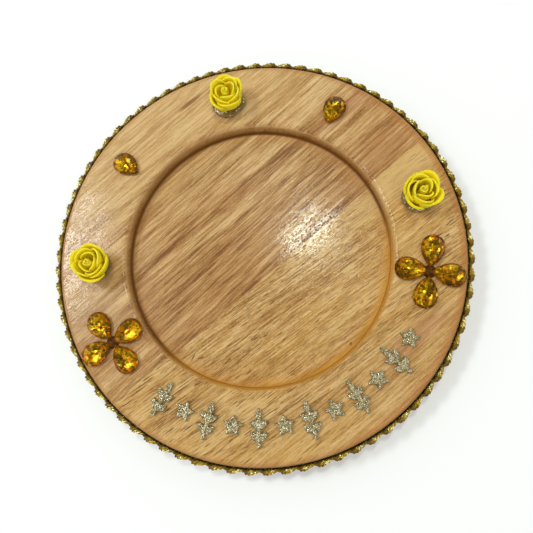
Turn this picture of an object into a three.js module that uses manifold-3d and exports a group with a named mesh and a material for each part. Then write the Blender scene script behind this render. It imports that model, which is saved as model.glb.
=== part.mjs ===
// A round turned wooden tray with a wide rim and a shallow recess, dressed with glued-on trims.
// Millimetres, +Z up. The origin is under the middle of the tray, on the surface that it rests on.
// The row of glitter ornaments is on the -Y side.

import * as THREE from 'three';
import { ConvexGeometry } from 'three/addons/geometries/ConvexGeometry.js';
import { mergeVertices } from 'three/addons/utils/BufferGeometryUtils.js';
import Module from 'manifold-3d';

// Board
const boardRadius = 120;
const boardThickness = 18;
const recessRadius = 79.6;
const recessDepth = 8.4;
const wallTaper = 1;
const floorFillet = 0.8;
const shoulderRound = 2;
const topRound = 1.8;
const bottomRound = 2.5;
const boardSides = 80;

// Staves that the board is glued up from: the outer two have their own widths at the board's edge,
// and the inner ones share what is left
const upperStaveWidth = 58.5;
const lowerStaveWidth = 31.5;
const innerStaves = 2;
const grainAngle = 40.5;
const glueLine = 0.2;

// Gold braid round the edge
const braidGap = 0.3;
const braidBelowRim = 1.2;
const braidAboveFoot = 3.3;
const braidThickness = 2.5;
const scallopRise = 2.1;
const scallopPitch = 9.8;
const scallopLead = 0.36;
const braidEdge = 0.8;
const braidCrest = 0.7;
const braidButtAngle = 262;
const braidButtGap = 0.5;
const stepsPerScallop = 5;

// Everything on the rim is stuck on with a film of glue, a little inside the middle of the rim
const glueFilm = 0.3;
const trimInset = 1.8;
const trimCircle = (recessRadius + shoulderRound + boardRadius) / 2 - trimInset;

// Pear-shaped rhinestones
const stoneLength = 18.5;
const stoneWidth = 13.6;
const stoneHeight = 4.6;
const stoneGirdle = 1.6;
const stoneTable = 0.5;
const stoneTip = 0.6;
const stoneSides = 16;
const stoneGap = 0.4;

// Foam roses
const roseRadius = 10.7;
const roseHeight = 15;
const foamSheet = 1;
const foamGap = 0.35;
const petalsPerRow = 5;
const padHeight = 2.6;
const padRadius = 10.2;

// Glitter-foam ornaments: sprigs and stars along the lower rim, between two compass places
const ornamentFirst = 238;
const ornamentLast = 329;
const ornamentThickness = 2;
const ornamentGap = 0.4;
const sprigLength = 21;
const leafLength = 7;
const leafWidth = 3.6;
const leafLean = 42;
const stemWidth = 2.2;
const starReach = 6.2;
const starWaist = 3.1;

const turn = 2 * Math.PI;
const degrees = Math.PI / 180;
const rimTop = boardThickness;

const hardwood = new THREE.MeshStandardMaterial({ color: 0xcfa471, roughness: 0.35, metalness: 0 });
const gold = new THREE.MeshStandardMaterial({ color: 0x8a6a1c, roughness: 0.35, metalness: 0.9 });
const foam = new THREE.MeshStandardMaterial({ color: 0xd9c81c, roughness: 0.85, metalness: 0 });
const glue = new THREE.MeshStandardMaterial({ color: 0xc9c1a0, roughness: 0.2, metalness: 0 });
const amber = new THREE.MeshStandardMaterial({ color: 0xb47a08, roughness: 0.08, metalness: 0 });
const glitter = new THREE.MeshStandardMaterial({ color: 0xa79766, roughness: 0.45, metalness: 0.5 });

const wasm = await Module();
wasm.setup();

// A closed geometry as a solid that can be joined and cut
function toSolid(geometry) {
  const bare = geometry.index ? geometry.toNonIndexed() : geometry.clone();
  bare.deleteAttribute('normal');
  bare.deleteAttribute('uv');
  const merged = mergeVertices(bare, 1e-4);
  return new wasm.Manifold(new wasm.Mesh({
    numProp: 3,
    vertProperties: merged.attributes.position.array,
    triVerts: Uint32Array.from(merged.index.array),
  }));
}

function toGeometry(solid) {
  const mesh = solid.getMesh();
  const geometry = new THREE.BufferGeometry();
  geometry.setAttribute('position', new THREE.BufferAttribute(mesh.vertProperties, 3));
  geometry.setIndex(new THREE.BufferAttribute(mesh.triVerts, 1));
  geometry.computeVertexNormals();
  return geometry;
}

// Rings of points, each with the same count, skinned into one closed body with a fan at each end
function skin(rings) {
  const count = rings[0].length;
  const points = rings.flat().flatMap((p) => [p.x, p.y, p.z]);
  const faces = [];
  const end = (rings.length - 1) * count;
  for (let a = 0; a < end; a += count) {
    const b = a + count;
    for (let j = 0; j < count; j += 1) {
      const k = (j + 1) % count;
      faces.push(a + j, a + k, b + k);
      faces.push(a + j, b + k, b + j);
    }
  }
  for (let j = 1; j < count - 1; j += 1) {
    faces.push(0, j + 1, j);
    faces.push(end, end + j, end + j + 1);
  }
  const geometry = new THREE.BufferGeometry();
  geometry.setAttribute('position', new THREE.Float32BufferAttribute(points, 3));
  geometry.setIndex(faces);
  geometry.computeVertexNormals();
  return geometry;
}

function arc(cx, cz, radius, from, to, steps) {
  const points = [];
  for (let i = 0; i <= steps; i += 1) {
    const a = (from + ((to - from) * i) / steps) * degrees;
    points.push(new THREE.Vector2(cx + radius * Math.cos(a), cz + radius * Math.sin(a)));
  }
  return points;
}

// A section turned about the vertical axis
function lathe(section, sides) {
  const geometry = new THREE.LatheGeometry(section, sides);
  geometry.rotateX(Math.PI / 2);
  return geometry;
}

// The turned section: flat base, rounded edge, flat rim, rounded shoulder, tapered wall, flat floor
function boardSection() {
  const floor = boardThickness - recessDepth;
  const footRadius = recessRadius - wallTaper;
  return [
    new THREE.Vector2(0, 0),
    ...arc(boardRadius - bottomRound, bottomRound, bottomRound, -90, 0, 3),
    ...arc(boardRadius - topRound, boardThickness - topRound, topRound, 0, 90, 4),
    ...arc(recessRadius + shoulderRound, boardThickness - shoulderRound, shoulderRound, 90, 180, 4),
    ...arc(footRadius - floorFillet, floor + floorFillet, floorFillet, 0, -90, 2),
    new THREE.Vector2(0, floor),
  ];
}

// The board is turned as one piece and sawn here along its glue lines
function makeStaves() {
  const turned = toSolid(lathe(boardSection(), boardSides));
  const length = 3 * boardRadius;
  const innerWidth = (2 * boardRadius - upperStaveWidth - lowerStaveWidth) / innerStaves;
  const edges = [boardRadius];
  for (let i = 0; i <= innerStaves; i += 1) edges.push(boardRadius - upperStaveWidth - i * innerWidth);
  edges.push(-boardRadius);
  return edges.slice(1).map((lower, i) => {
    const width = edges[i] - lower;
    const plank = new THREE.BoxGeometry(length, width - glueLine, 3 * boardThickness);
    plank.translate(0, lower + width / 2, 0);
    plank.rotateZ(grainAngle * degrees);
    const stave = new THREE.Mesh(toGeometry(turned.intersect(toSolid(plank))), hardwood);
    stave.name = `board_stave_${i + 1}`;
    return stave;
  });
}

// How far the braid stands out, from 0 in a hollow to 1 on a scallop, at a place in the pitch
function scallop(place) {
  const bent = place < scallopLead ? place / scallopLead : (1 - place) / (1 - scallopLead);
  return Math.sin((bent * Math.PI) / 2) ** 1.2;
}

// The braid is a flat back against the board's edge and two rows of scallops, half a pitch apart
function makeBraid() {
  const inner = boardRadius + braidGap;
  const count = Math.round((turn * boardRadius) / scallopPitch);
  const steps = count * stepsPerScallop;
  const butt = braidButtGap / inner / 2;
  const half = (boardThickness - braidBelowRim - braidAboveFoot) / 2;
  const middle = braidAboveFoot + half;
  const rings = [];
  for (let i = 0; i <= steps; i += 1) {
    const angle = braidButtAngle * degrees + butt + ((turn - 2 * butt) * i) / steps;
    const place = (i / stepsPerScallop) % 1;
    const upper = scallop(place);
    const lower = scallop((place + 0.5) % 1);
    const out = inner + braidThickness;
    const section = [
      [inner, middle + half * (0.86 + 0.14 * upper)],
      [out - braidEdge + scallopRise * upper, middle + half * (0.86 + 0.14 * upper)],
      [out + scallopRise * upper, middle + half * braidCrest],
      [out, middle],
      [out + scallopRise * lower, middle - half * braidCrest],
      [out - braidEdge + scallopRise * lower, middle - half * (0.86 + 0.14 * lower)],
      [inner, middle - half * (0.86 + 0.14 * lower)],
    ];
    rings.push(section.map(([r, z]) => new THREE.Vector3(r * Math.cos(angle), r * Math.sin(angle), z)));
  }
  const braid = new THREE.Mesh(skin(rings), gold);
  braid.name = 'edge_braid';
  return braid;
}

// The outline of a pear stone about the middle of its length, with its tip towards -X. The larger
// stoneTip is, the sharper the tip, and at 0 the outline is an ellipse.
function pearOutline(scale) {
  const widest = (1 + stoneTip) / (2 + stoneTip);
  const fullest = 2 * Math.sqrt(widest * (1 - widest)) * widest ** (stoneTip / 2);
  const points = [];
  for (let i = 0; i < stoneSides; i += 1) {
    const t = (turn * i) / stoneSides;
    const x = -(stoneLength / 2) * Math.cos(t) * scale;
    const y = ((stoneWidth / 2) * Math.sin(t) * Math.sin(t / 2) ** stoneTip * scale) / fullest;
    points.push(new THREE.Vector2(x, y));
  }
  return points;
}

// How far from a flower's middle its tips start, so that no two neighbours touch
function tipReach(directions) {
  const gaps = directions.map((d, i) => {
    const next = i + 1 < directions.length ? directions[i + 1] : directions[0] + 360;
    return next - d;
  });
  const halfWedge = (Math.min(...gaps) / 2) * degrees;
  const needs = pearOutline(1).map((p) =>
    (Math.abs(p.y) + stoneGap / 2) / Math.tan(halfWedge) - (p.x + stoneLength / 2));
  return Math.max(...needs);
}

// Flat foil back, thin girdle, two tiers of crown facets and a flat table
function makeStone(name) {
  const tiers = [[0.9, 0], [1, stoneGirdle * 0.6], [1, stoneGirdle], [0.78, stoneHeight * 0.8],
    [stoneTable, stoneHeight]];
  const points = tiers.flatMap(([scale, z]) =>
    pearOutline(scale).map((p) => new THREE.Vector3(p.x, p.y, z)));
  const stone = new THREE.Mesh(new ConvexGeometry(points), amber);
  stone.name = name;
  return stone;
}

// A group that stands on the rim at a compass place, turned by its own angle
function onRim(angle, radius, turned, children) {
  const place = angle * degrees;
  const group = new THREE.Group();
  group.position.set(radius * Math.cos(place), radius * Math.sin(place), rimTop + glueFilm);
  group.rotation.z = turned * degrees;
  group.add(...children);
  return group;
}

// Four stones with their tips together, each turned outwards to its own direction and set further
// out by its own amount, as a hand placed them
function makeFlower(name, angle, radius, petals) {
  const closest = tipReach(petals.map(([direction]) => direction)) + stoneLength / 2;
  const stones = petals.map(([direction, further], i) => {
    const reach = closest + further;
    const stone = makeStone(`${name}_stone_${i + 1}`);
    stone.position.set(reach * Math.cos(direction * degrees), reach * Math.sin(direction * degrees), 0);
    stone.rotation.z = direction * degrees;
    return stone;
  });
  return onRim(angle, radius, 0, stones);
}

// One row of petals is a single die-cut foam sheet gathered into a cup: each petal starts inside
// its neighbour and ends outside it, and its lip stands higher and further out in the middle.
function petalRow(name, foot, lip, low, high, shift) {
  const columns = petalsPerRow * 6;
  const rows = 3;
  const ring = (t, inset) => {
    const points = [];
    for (let j = 0; j < columns; j += 1) {
      const around = j / columns;
      const place = (around * petalsPerRow + shift) % 1;
      const lap = place < 0.84 ? place / 0.84 - 0.5 : 0.5 - (place - 0.84) / 0.16;
      const crest = Math.sin(Math.PI * Math.min(place / 0.84, 1)) ** 0.7;
      const swell = Math.sin((t * Math.PI) / 2) ** 0.75;
      const out = foot + (lip - foot) * swell + t * lap * foamSheet * 1.1 - inset;
      const r = Math.max(out, foamSheet);
      const rise = low + (high - low) * t * (0.84 + 0.16 * crest) + (1 - t) * inset;
      points.push(new THREE.Vector3(r * Math.cos(around * turn), r * Math.sin(around * turn), rise));
    }
    return points;
  };
  const rings = [];
  for (let i = 0; i <= rows; i += 1) rings.push(ring(i / rows, 0));
  for (let i = rows; i >= 0; i -= 1) rings.push(ring(i / rows, foamSheet));
  const row = new THREE.Mesh(skin(rings), foam);
  row.name = name;
  return row;
}

// The rolled heart of the rose: a bud whose top is a shallow spiral step
function roseHeart(name, radius, low, high) {
  const columns = 20;
  const levels = [[0.55, 0], [0.9, 0.35], [1, 0.7], [0.86, 0.95], [0.5, 1], [0.2, 0.9]];
  const rings = levels.map(([wide, t]) => {
    const points = [];
    for (let j = 0; j < columns; j += 1) {
      const around = j / columns;
      const r = radius * wide * (0.88 + 0.12 * around);
      const z = low + (high - low) * t * (t > 0.9 ? 0.94 + 0.06 * around : 1);
      points.push(new THREE.Vector3(r * Math.cos(around * turn), r * Math.sin(around * turn), z));
    }
    return points;
  });
  const heart = new THREE.Mesh(skin(rings), foam);
  heart.name = name;
  return heart;
}

function makeRose(name, angle, radius, turned) {
  const padProfile = [
    new THREE.Vector2(0, 0),
    new THREE.Vector2(padRadius, 0),
    new THREE.Vector2(padRadius * 0.93, padHeight * 0.55),
    new THREE.Vector2(padRadius * 0.72, padHeight),
    new THREE.Vector2(0, padHeight),
  ];
  const padMesh = new THREE.Mesh(lathe(padProfile, 20), glue);
  padMesh.name = `${name}_glue_pad`;
  const low = padHeight + glueFilm;
  const wrap = foamSheet + foamGap + foamSheet * 0.55;
  const innerLip = roseRadius - foamSheet * 0.55 - wrap - foamSheet * 0.55;
  const outer = petalRow(`${name}_outer_petals`, roseRadius * 0.55, roseRadius - foamSheet * 0.55,
    low, low + roseHeight * 0.86, 0);
  const inner = petalRow(`${name}_inner_petals`, roseRadius * 0.55 - foamSheet - foamGap, innerLip,
    low + foamSheet + foamGap, low + roseHeight * 0.98, 0.5);
  const heart = roseHeart(`${name}_heart`, innerLip - wrap, low + 2 * (foamSheet + foamGap),
    low + roseHeight);
  return onRim(angle, radius, turned, [padMesh, outer, inner, heart]);
}

// A pointed leaf cut from the sheet, from its root on the stem
function leafSolid(x, length, lean) {
  const shape = new THREE.Shape();
  shape.moveTo(0, 0);
  shape.quadraticCurveTo(length / 2, leafWidth, length, 0);
  shape.quadraticCurveTo(length / 2, -leafWidth, 0, 0);
  const leaf = new THREE.ExtrudeGeometry(shape, { depth: ornamentThickness, bevelEnabled: false,
    curveSegments: 4 });
  leaf.rotateZ(lean * degrees);
  leaf.translate(x, 0, 0);
  return toSolid(leaf);
}

// A sprig: a stem with a leaf at its end and two leaning pairs along it, its tip towards +X
function sprigGeometry() {
  const root = -sprigLength / 2;
  const tipRoot = sprigLength / 2 - leafLength * 1.2;
  const stemLength = tipRoot - root + leafWidth / 2;
  const stem = new THREE.BoxGeometry(stemLength, stemWidth, ornamentThickness);
  stem.translate(root + stemLength / 2, 0, ornamentThickness / 2);
  let sprig = toSolid(stem).add(leafSolid(tipRoot, leafLength * 1.2, 0));
  for (const share of [0.25, 0.75]) {
    const x = root + (tipRoot - root) * share;
    sprig = sprig.add(leafSolid(x, leafLength, leafLean));
    sprig = sprig.add(leafSolid(x, leafLength, -leafLean));
  }
  return toGeometry(sprig);
}

function starGeometry() {
  const shape = new THREE.Shape();
  shape.moveTo(starReach, 0);
  for (let i = 1; i < 10; i += 1) {
    const r = i % 2 === 0 ? starReach : starWaist;
    const a = (i * turn) / 10;
    shape.lineTo(r * Math.cos(a), r * Math.sin(a));
  }
  return new THREE.ExtrudeGeometry(shape, { depth: ornamentThickness, bevelEnabled: false });
}

// Sprigs and stars by turns, as many as fit, spread evenly and pointing at the middle of the tray
function makeOrnaments() {
  const sprigReach = leafLength * Math.sin(leafLean * degrees) + leafWidth / 2;
  const pitch = sprigReach + starReach + ornamentGap;
  const inner = trimCircle - Math.max(starReach, sprigLength / 4);
  const run = (ornamentLast - ornamentFirst) * degrees * inner;
  const gaps = Math.floor(run / pitch);
  const ornaments = [];
  for (let i = 0; i <= gaps; i += 1) {
    const angle = ornamentFirst + ((ornamentLast - ornamentFirst) * i) / gaps;
    const geometry = i % 2 === 0 ? sprigGeometry() : starGeometry();
    const ornament = new THREE.Mesh(geometry, glitter);
    ornament.name = `glitter_ornament_${String(i + 1).padStart(2, '0')}`;
    ornaments.push(onRim(angle, trimCircle, angle + 180, [ornament]));
  }
  return ornaments;
}

function makeSingleStone(name, angle, radius, turned) {
  return onRim(angle, radius, turned, [makeStone(name)]);
}

const tray = new THREE.Group();
tray.add(...makeStaves());
tray.add(makeBraid());
tray.add(makeRose('rose_top', 100.5, trimCircle - 1.4, 20));
tray.add(makeRose('rose_left', 184.6, trimCircle - 2.5, 75));
tray.add(makeRose('rose_right', 17.5, trimCircle, 130));
tray.add(makeSingleStone('rhinestone_left', 145.3, trimCircle, 144));
tray.add(makeSingleStone('rhinestone_right', 61.5, trimCircle, 64));
tray.add(makeFlower('flower_left', 212.3, trimCircle, [[34, 0], [130, 1.5], [213, 0.2], [310, 1.7]]));
tray.add(makeFlower('flower_right', 351.9, trimCircle, [[79, 1.6], [172, 0], [256, 2], [348, 0.4]]));
tray.add(...makeOrnaments());

export default tray;
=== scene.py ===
import random
from math import atan2, cos, hypot, pi, radians, sin, sqrt

import bmesh
import bpy
from mathutils import Matrix, Vector


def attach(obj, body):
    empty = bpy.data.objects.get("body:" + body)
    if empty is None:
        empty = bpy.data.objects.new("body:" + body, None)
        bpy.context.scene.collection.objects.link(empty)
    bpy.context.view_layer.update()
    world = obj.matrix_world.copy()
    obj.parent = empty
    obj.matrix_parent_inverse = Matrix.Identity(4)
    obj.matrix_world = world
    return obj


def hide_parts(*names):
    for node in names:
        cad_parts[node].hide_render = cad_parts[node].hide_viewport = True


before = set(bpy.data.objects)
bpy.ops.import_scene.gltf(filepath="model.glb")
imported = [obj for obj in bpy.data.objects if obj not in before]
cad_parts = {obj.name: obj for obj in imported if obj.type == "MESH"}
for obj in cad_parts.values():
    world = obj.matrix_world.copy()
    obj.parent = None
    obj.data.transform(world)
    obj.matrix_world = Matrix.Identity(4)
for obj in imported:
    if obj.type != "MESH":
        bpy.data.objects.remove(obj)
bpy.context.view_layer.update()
mm = 0.001  # pieces are modelled in millimetres and scaled to metres at the end


def srgb(red, green, blue):  # a colour read on the 0 to 255 scale, as linear light
    linear = [c / 255 / 12.92 if c <= 10 else ((c / 255 + 0.055) / 1.055) ** 2.4 for c in (red, green, blue)]
    return (*linear, 1)


def deselectAll():
    if bpy.context.mode != "OBJECT":
        bpy.ops.object.mode_set(mode="OBJECT")
    bpy.ops.object.select_all(action="DESELECT")


def makeActive(*pieces):
    deselectAll()
    for piece in pieces:
        piece.select_set(True)
    bpy.context.view_layer.objects.active = pieces[0]


def applyModifier(piece, kind, **settings):
    makeActive(piece)
    modifier = piece.modifiers.new(kind.title(), kind)
    for key, value in settings.items():
        setattr(modifier, key, value)
    bpy.ops.object.modifier_apply(modifier=modifier.name)


def selectWhere(piece, test):  # in edit mode, selects the vertices whose place passes the test
    mesh = bmesh.from_edit_mesh(piece.data)
    for vertex in mesh.verts:
        vertex.select = bool(test(vertex.co))
    mesh.select_flush_mode()
    mesh.select_flush(True)
    bmesh.update_edit_mesh(piece.data)


def moveVertices(piece, where):
    for vertex in piece.data.vertices:
        vertex.co = where(vertex.co.copy())


def newObject(name, data):
    piece = bpy.data.objects.new(name, data)
    bpy.context.scene.collection.objects.link(piece)
    return piece


def copyOf(piece, name):
    twin = piece.copy()
    twin.data = piece.data.copy()
    twin.name = name
    bpy.context.scene.collection.objects.link(twin)
    return twin


def roundAxis(radius, angle, height):  # a place round the upright axis
    return Vector((radius * cos(angle), radius * sin(angle), height))


def join(pieces):
    makeActive(*pieces)
    bpy.ops.object.join()
    return bpy.context.view_layer.objects.active


def polylineTube(name, paths, thickness):  # cords along lists of points
    curve = bpy.data.curves.new(name, "CURVE")
    curve.dimensions = "3D"
    curve.bevel_depth = thickness / 2
    curve.bevel_resolution = 0  # four sides are enough for a thin yarn
    curve.use_fill_caps = True
    for path in paths:
        spline = curve.splines.new("POLY")
        spline.points.add(len(path) - 1)
        for point, place in zip(spline.points, path):
            point.co = (*place, 1)
    piece = newObject(name, curve)
    makeActive(piece)
    bpy.ops.object.convert(target="MESH")
    return piece


def finishPiece(piece, name, finish, nodes, smoothAngle=35):
    makeActive(piece)
    piece.scale = (mm, mm, mm)
    bpy.ops.object.transform_apply()
    if smoothAngle:
        bpy.ops.object.shade_smooth_by_angle(angle=radians(smoothAngle))
    piece.name = name
    piece.data.name = name
    if finish is not None:
        piece.data.materials.clear()
        piece.data.materials.append(finish)
    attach(piece, "root")
    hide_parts(*nodes)


# Shader maths
class Wire:  # a shader socket: an expression on wires adds its Math nodes
    def __init__(self, finish, socket):
        self.finish = finish
        self.socket = socket

    def maths(self, operation, *others):
        return self.finish.maths(operation, self, *others)

    def __add__(self, other):
        return self.maths("ADD", other)

    def __sub__(self, other):
        return self.maths("SUBTRACT", other)

    def __rsub__(self, other):
        return self.finish.maths("SUBTRACT", other, self)

    def __mul__(self, other):
        return self.maths("MULTIPLY", other)

    def __truediv__(self, other):
        return self.maths("DIVIDE", other)

    __radd__ = __add__
    __rmul__ = __mul__

    def clamped(self):
        return self.finish.add("ShaderNodeClamp", {}, [self])

    def rise(self, low, high):  # 0 below low, 1 above high, smooth between; falls if low is above high
        return self.finish.add("ShaderNodeMapRange", {"interpolation_type": "SMOOTHSTEP"},
                               {"Value": self, "From Min": low, "From Max": high})

    def near(self, place, width):  # 1 at the place, smoothly down to 0 at that distance from it
        return (self - place).maths("ABSOLUTE").rise(width, 0)


class Finish:  # a material under construction
    def __init__(self, name, roughness=0.5, **constants):
        self.material = bpy.data.materials.new(name)
        self.material.use_nodes = True
        self.tree = self.material.node_tree
        self.shader = self.tree.nodes["Principled BSDF"]
        self.shader.inputs["Roughness"].default_value = roughness
        for key, value in constants.items():
            self.shader.inputs[key.replace("_", " ")].default_value = value

    def add(self, kind, settings, inputs, output=0):
        node = self.tree.nodes.new(kind)
        for key, value in settings.items():
            if key == "stops":
                self.setStops(node.color_ramp, value)
            else:
                setattr(node, key, value)
        pairs = inputs.items() if isinstance(inputs, dict) else enumerate(inputs)
        for key, value in pairs:
            self.plug(node.inputs[key], value)
        return Wire(self, node.outputs[output])

    def maths(self, operation, *values):
        return self.add("ShaderNodeMath", {"operation": operation}, values)

    def plug(self, socket, value):
        if isinstance(value, Wire):
            self.tree.links.new(value.socket, socket)
        else:
            socket.default_value = value

    def setStops(self, ramp, stops):
        while len(ramp.elements) < len(stops):
            ramp.elements.new(0.5)
        for element, (place, colour) in zip(ramp.elements, stops):
            element.position = place
            element.color = colour if isinstance(colour, tuple) else (colour, colour, colour, 1)

    def place(self):  # Object coordinates in millimetres
        coordinates = self.add("ShaderNodeTexCoord", {}, {}, "Object")
        return self.add("ShaderNodeVectorMath", {"operation": "SCALE"}, {0: coordinates, "Scale": 1000})

    def turned(self, vector, angle):
        return self.add("ShaderNodeMapping", {}, {"Vector": vector, "Rotation": (0, 0, radians(angle))})

    def sized(self, vector, sizes, shift=(0, 0, 0)):  # features of these sizes in millimetres
        scale = [1 / size for size in sizes]
        return self.add("ShaderNodeMapping", {}, {"Vector": vector, "Scale": scale, "Location": shift})

    def even(self, size):  # Object coordinates with features of one size all ways
        return self.sized(self.place(), (size, size, size))

    def noise(self, vector, detail=2.0, roughness=0.5):
        inputs = {"Vector": vector, "Scale": 1, "Detail": detail, "Roughness": roughness}
        return self.add("ShaderNodeTexNoise", {}, inputs)

    def cells(self, vector, output="Color"):
        return self.add("ShaderNodeTexVoronoi", {}, {"Vector": vector, "Scale": 1}, output)

    def split(self, vector):
        return [self.add("ShaderNodeSeparateXYZ", {}, [vector], axis) for axis in range(3)]

    def blend(self, amount, first, second, how="MIX"):
        return self.add("ShaderNodeMix", {"data_type": "RGBA", "blend_type": how},
                        {0: amount, 6: first, 7: second}, 2)

    def set(self, **links):
        for key, value in links.items():
            self.plug(self.shader.inputs[key.replace("_", " ")], value)
        return self.material

    def bump(self, height, depth):  # relief of that depth in millimetres
        return self.add("ShaderNodeBump", {}, {"Height": height, "Distance": depth * mm, "Strength": 1},
                        "Normal")


# Camera, at the photograph's place and angle
view = {
    "place": (30.8, -61.6, 282.6),
    "target": (5.96, -9.47, 18.0),
    "lens": 31.38,
    "sensor": 36,
    "nearest": 0.01,
    "farthest": 50,
}


def makeCamera():
    camera = newObject("camera", bpy.data.cameras.new("camera"))
    place = Vector(view["place"])
    back = (place - Vector(view["target"])).normalized()
    right = Vector((0, 1, 0)).cross(back).normalized()
    up = back.cross(right)
    turn = Matrix((right, up, back)).transposed().to_4x4()
    camera.matrix_world = Matrix.Translation(place * mm) @ turn
    camera.data.lens = view["lens"]
    camera.data.sensor_width = view["sensor"]
    camera.data.clip_start = view["nearest"]
    camera.data.clip_end = view["farthest"]
    bpy.context.scene.camera = camera


# Lamps, world and floor
lamps = {
    "glareLamp": {"place": (34, 294, 1020), "target": (10, 0, 0), "size": (170, 90), "roll": 42,
                  "power": 2.5, "colour": (0.9, 1.0, 0.86)},
    "keyLamp": {"place": (-690, 215, 1000), "target": (-30, 0, 0), "size": (440, 200), "roll": 0,
                "power": 4.9, "colour": (0.92, 0.97, 1.0)},
    "sparkLamp": {"place": (420, -380, 900), "target": (0, 0, 0), "size": (120, 120), "roll": 0,
                  "power": 1.2, "colour": (1.0, 0.98, 0.92)},
}
studio = {
    "horizon": 0.84,
    "zenith": 0.4,
    "fade": (0.1, 0.9),  # where the sky goes from the one to the other
    "floorRadius": 6.0,
    "floorSides": 96,
    "floorDrop": 0.00002,
    "floorColour": (0.86, 0.86, 0.86, 1),
    "floorLift": 0.13,
}


def makeLamps():
    for name, lamp in lamps.items():
        light = bpy.data.lights.new(name, "AREA")
        light.shape = "ELLIPSE"
        light.size, light.size_y = (side * mm for side in lamp["size"])
        light.color = lamp["colour"]
        light.energy = lamp["power"]
        holder = newObject(name, light)
        holder.location = Vector(lamp["place"]) * mm
        aim = Vector(lamp["target"]) - Vector(lamp["place"])
        roll = Matrix.Rotation(radians(lamp["roll"]), 3, "Z")
        holder.rotation_euler = (aim.to_track_quat("-Z", "Y").to_matrix() @ roll).to_euler()


def makeWorld():
    world = bpy.data.worlds.new("studio")
    bpy.context.scene.world = world
    world.use_nodes = True
    tree = world.node_tree
    background = tree.nodes["Background"]
    coordinates = tree.nodes.new("ShaderNodeTexCoord")
    split = tree.nodes.new("ShaderNodeSeparateXYZ")
    height = tree.nodes.new("ShaderNodeMapRange")
    height.interpolation_type = "SMOOTHSTEP"
    values = (*studio["fade"], studio["horizon"], studio["zenith"])
    for name, value in zip(("From Min", "From Max", "To Min", "To Max"), values):
        height.inputs[name].default_value = value
    tree.links.new(coordinates.outputs["Generated"], split.inputs[0])
    tree.links.new(split.outputs["Z"], height.inputs["Value"])
    background.inputs["Color"].default_value = (1, 1, 1, 1)
    tree.links.new(height.outputs[0], background.inputs["Strength"])


def makeFloor():
    deselectAll()
    bpy.ops.mesh.primitive_circle_add(vertices=studio["floorSides"], radius=studio["floorRadius"],
                                      fill_type="NGON", location=(0, 0, -studio["floorDrop"]))
    floor = bpy.context.object
    floor.name = "floor"
    bpy.ops.object.transform_apply()
    finish = Finish("paleFloor", roughness=0.9, Specular_IOR_Level=0)
    paths = [finish.add("ShaderNodeLightPath", {}, {}, name)
             for name in ("Is Camera Ray", "Is Glossy Ray", "Is Transmission Ray")]
    shown = (paths[0] + paths[1] + paths[2]).clamped()
    finish.set(Base_Color=studio["floorColour"], Emission_Color=(1, 1, 1, 1),
               Emission_Strength=shown * studio["floorLift"])
    floor.data.materials.append(finish.material)


makeCamera()
makeLamps()
makeWorld()
makeFloor()
print("camera, lamps and floor ready")


# Board: a turned blank, sawn into its four staves
board = {
    "radius": 120,
    "thickness": 18,
    "recessRadius": 79.6,
    "recessDepth": 8.4,
    "wallTaper": 1.0,
    "topRound": 1.8,
    "shoulderRound": 2.0,
    "bottomRound": 2.5,
    "floorFillet": 0.8,
    "roundSegments": 8,
    "spinSteps": 288,
    "weld": 0.002,
    "grainAngle": 40.5,
    "seams": (61.5, -13.5, -88.5),
    "glueLine": 0.02,
}
wood = {
    "light": srgb(220, 187, 133),
    "middle": srgb(188, 147, 91),
    "dark": srgb(134, 88, 47),
    "pore": srgb(104, 60, 22),
    "pink": srgb(218, 172, 142),
    "yellow": srgb(206, 156, 68),
    # the wall colours are painted shade: the wall darkens towards its foot and is paler on the lower side,
    # where the lamp falls on it
    "wall": srgb(126, 80, 22),
    "wallTop": srgb(200, 156, 100),
    "lowerWall": srgb(206, 154, 72),
    # the foot: dark varnish gathered in it, together with painted contact shade
    "foot": srgb(108, 62, 4),
    "lowerFoot": srgb(198, 130, 16),
    "stain": srgb(210, 152, 34),
    "footLine": srgb(140, 84, 10),
    "edge": srgb(178, 112, 54),
    "inner": srgb(200, 140, 70),
    "roughness": 0.15,
    "footRoughness": 0.35,
    "gloss": 0.15,
    "varnish": 0.37,
    "varnishRoughness": 0.13,
    "relief": 0.075,
    # how much each figure and each painted zone counts
    "warp": 9,
    "broad": 0.42,
    "streak": 0.5,
    "fibre": 0.62,
    "speck": 0.26,
    "rimPaler": 0.14,
    "poreShare": 0.95,
    "wallShare": 0.66,
    "innerShare": 0.3,
    "stainShare": 0.7,
    "lineShare": 0.6,
    "edgeShare": 0.5,
    "bandShare": 0.4,
    "footShare": 0.95,
    "lowerFootLess": 0.25,
}
figures = {  # the size of each figure along the grain, across it and down, in millimetres
    "slow": (110, 26, 26),
    "broad": (85, 4.4, 8),
    "streak": (40, 1.7, 4),
    "fibre": (14, 0.9, 2),
    "speck": (1.3, 0.8, 1.0),
    "pit": (1.9, 1.45, 1.6),
    "pool": (16, 5, 9),
    "drift": (120, 30, 60),
    "dash": (7, 0.52, 1.6),
    "clump": (40, 9, 9),
}
zones = {  # where a zone begins and is full, as radii, heights or places in millimetres
    "rim": (81, 84),
    "wallFoot": (77.4, 78.6),
    "wallShoulder": (82.4, 80.4),
    "belowRim": (17.95, 16.6),
    "upTheWall": (11.5, 17.6),
    "lowerSide": (10, 50),
    "inner": (69, 78.5),
    "onFloor": (11, 9.8),
    "aboveFoot": (12.6, 10.6),
    "aboveLine": (12.2, 10.4),
    "stainedSide": (-12, 12),
    "edge": (116.6, 119.2),
    "band": (115.4, 116.6),
    "bandSide": (20, 90),
    # how far a ring lies inside the wall's foot, and how wide it is
    "footRing": (0.2, 1.6),
    "stainRing": (1.8, 3.4),
    "lineRing": (0.1, 0.7),
}
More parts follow.
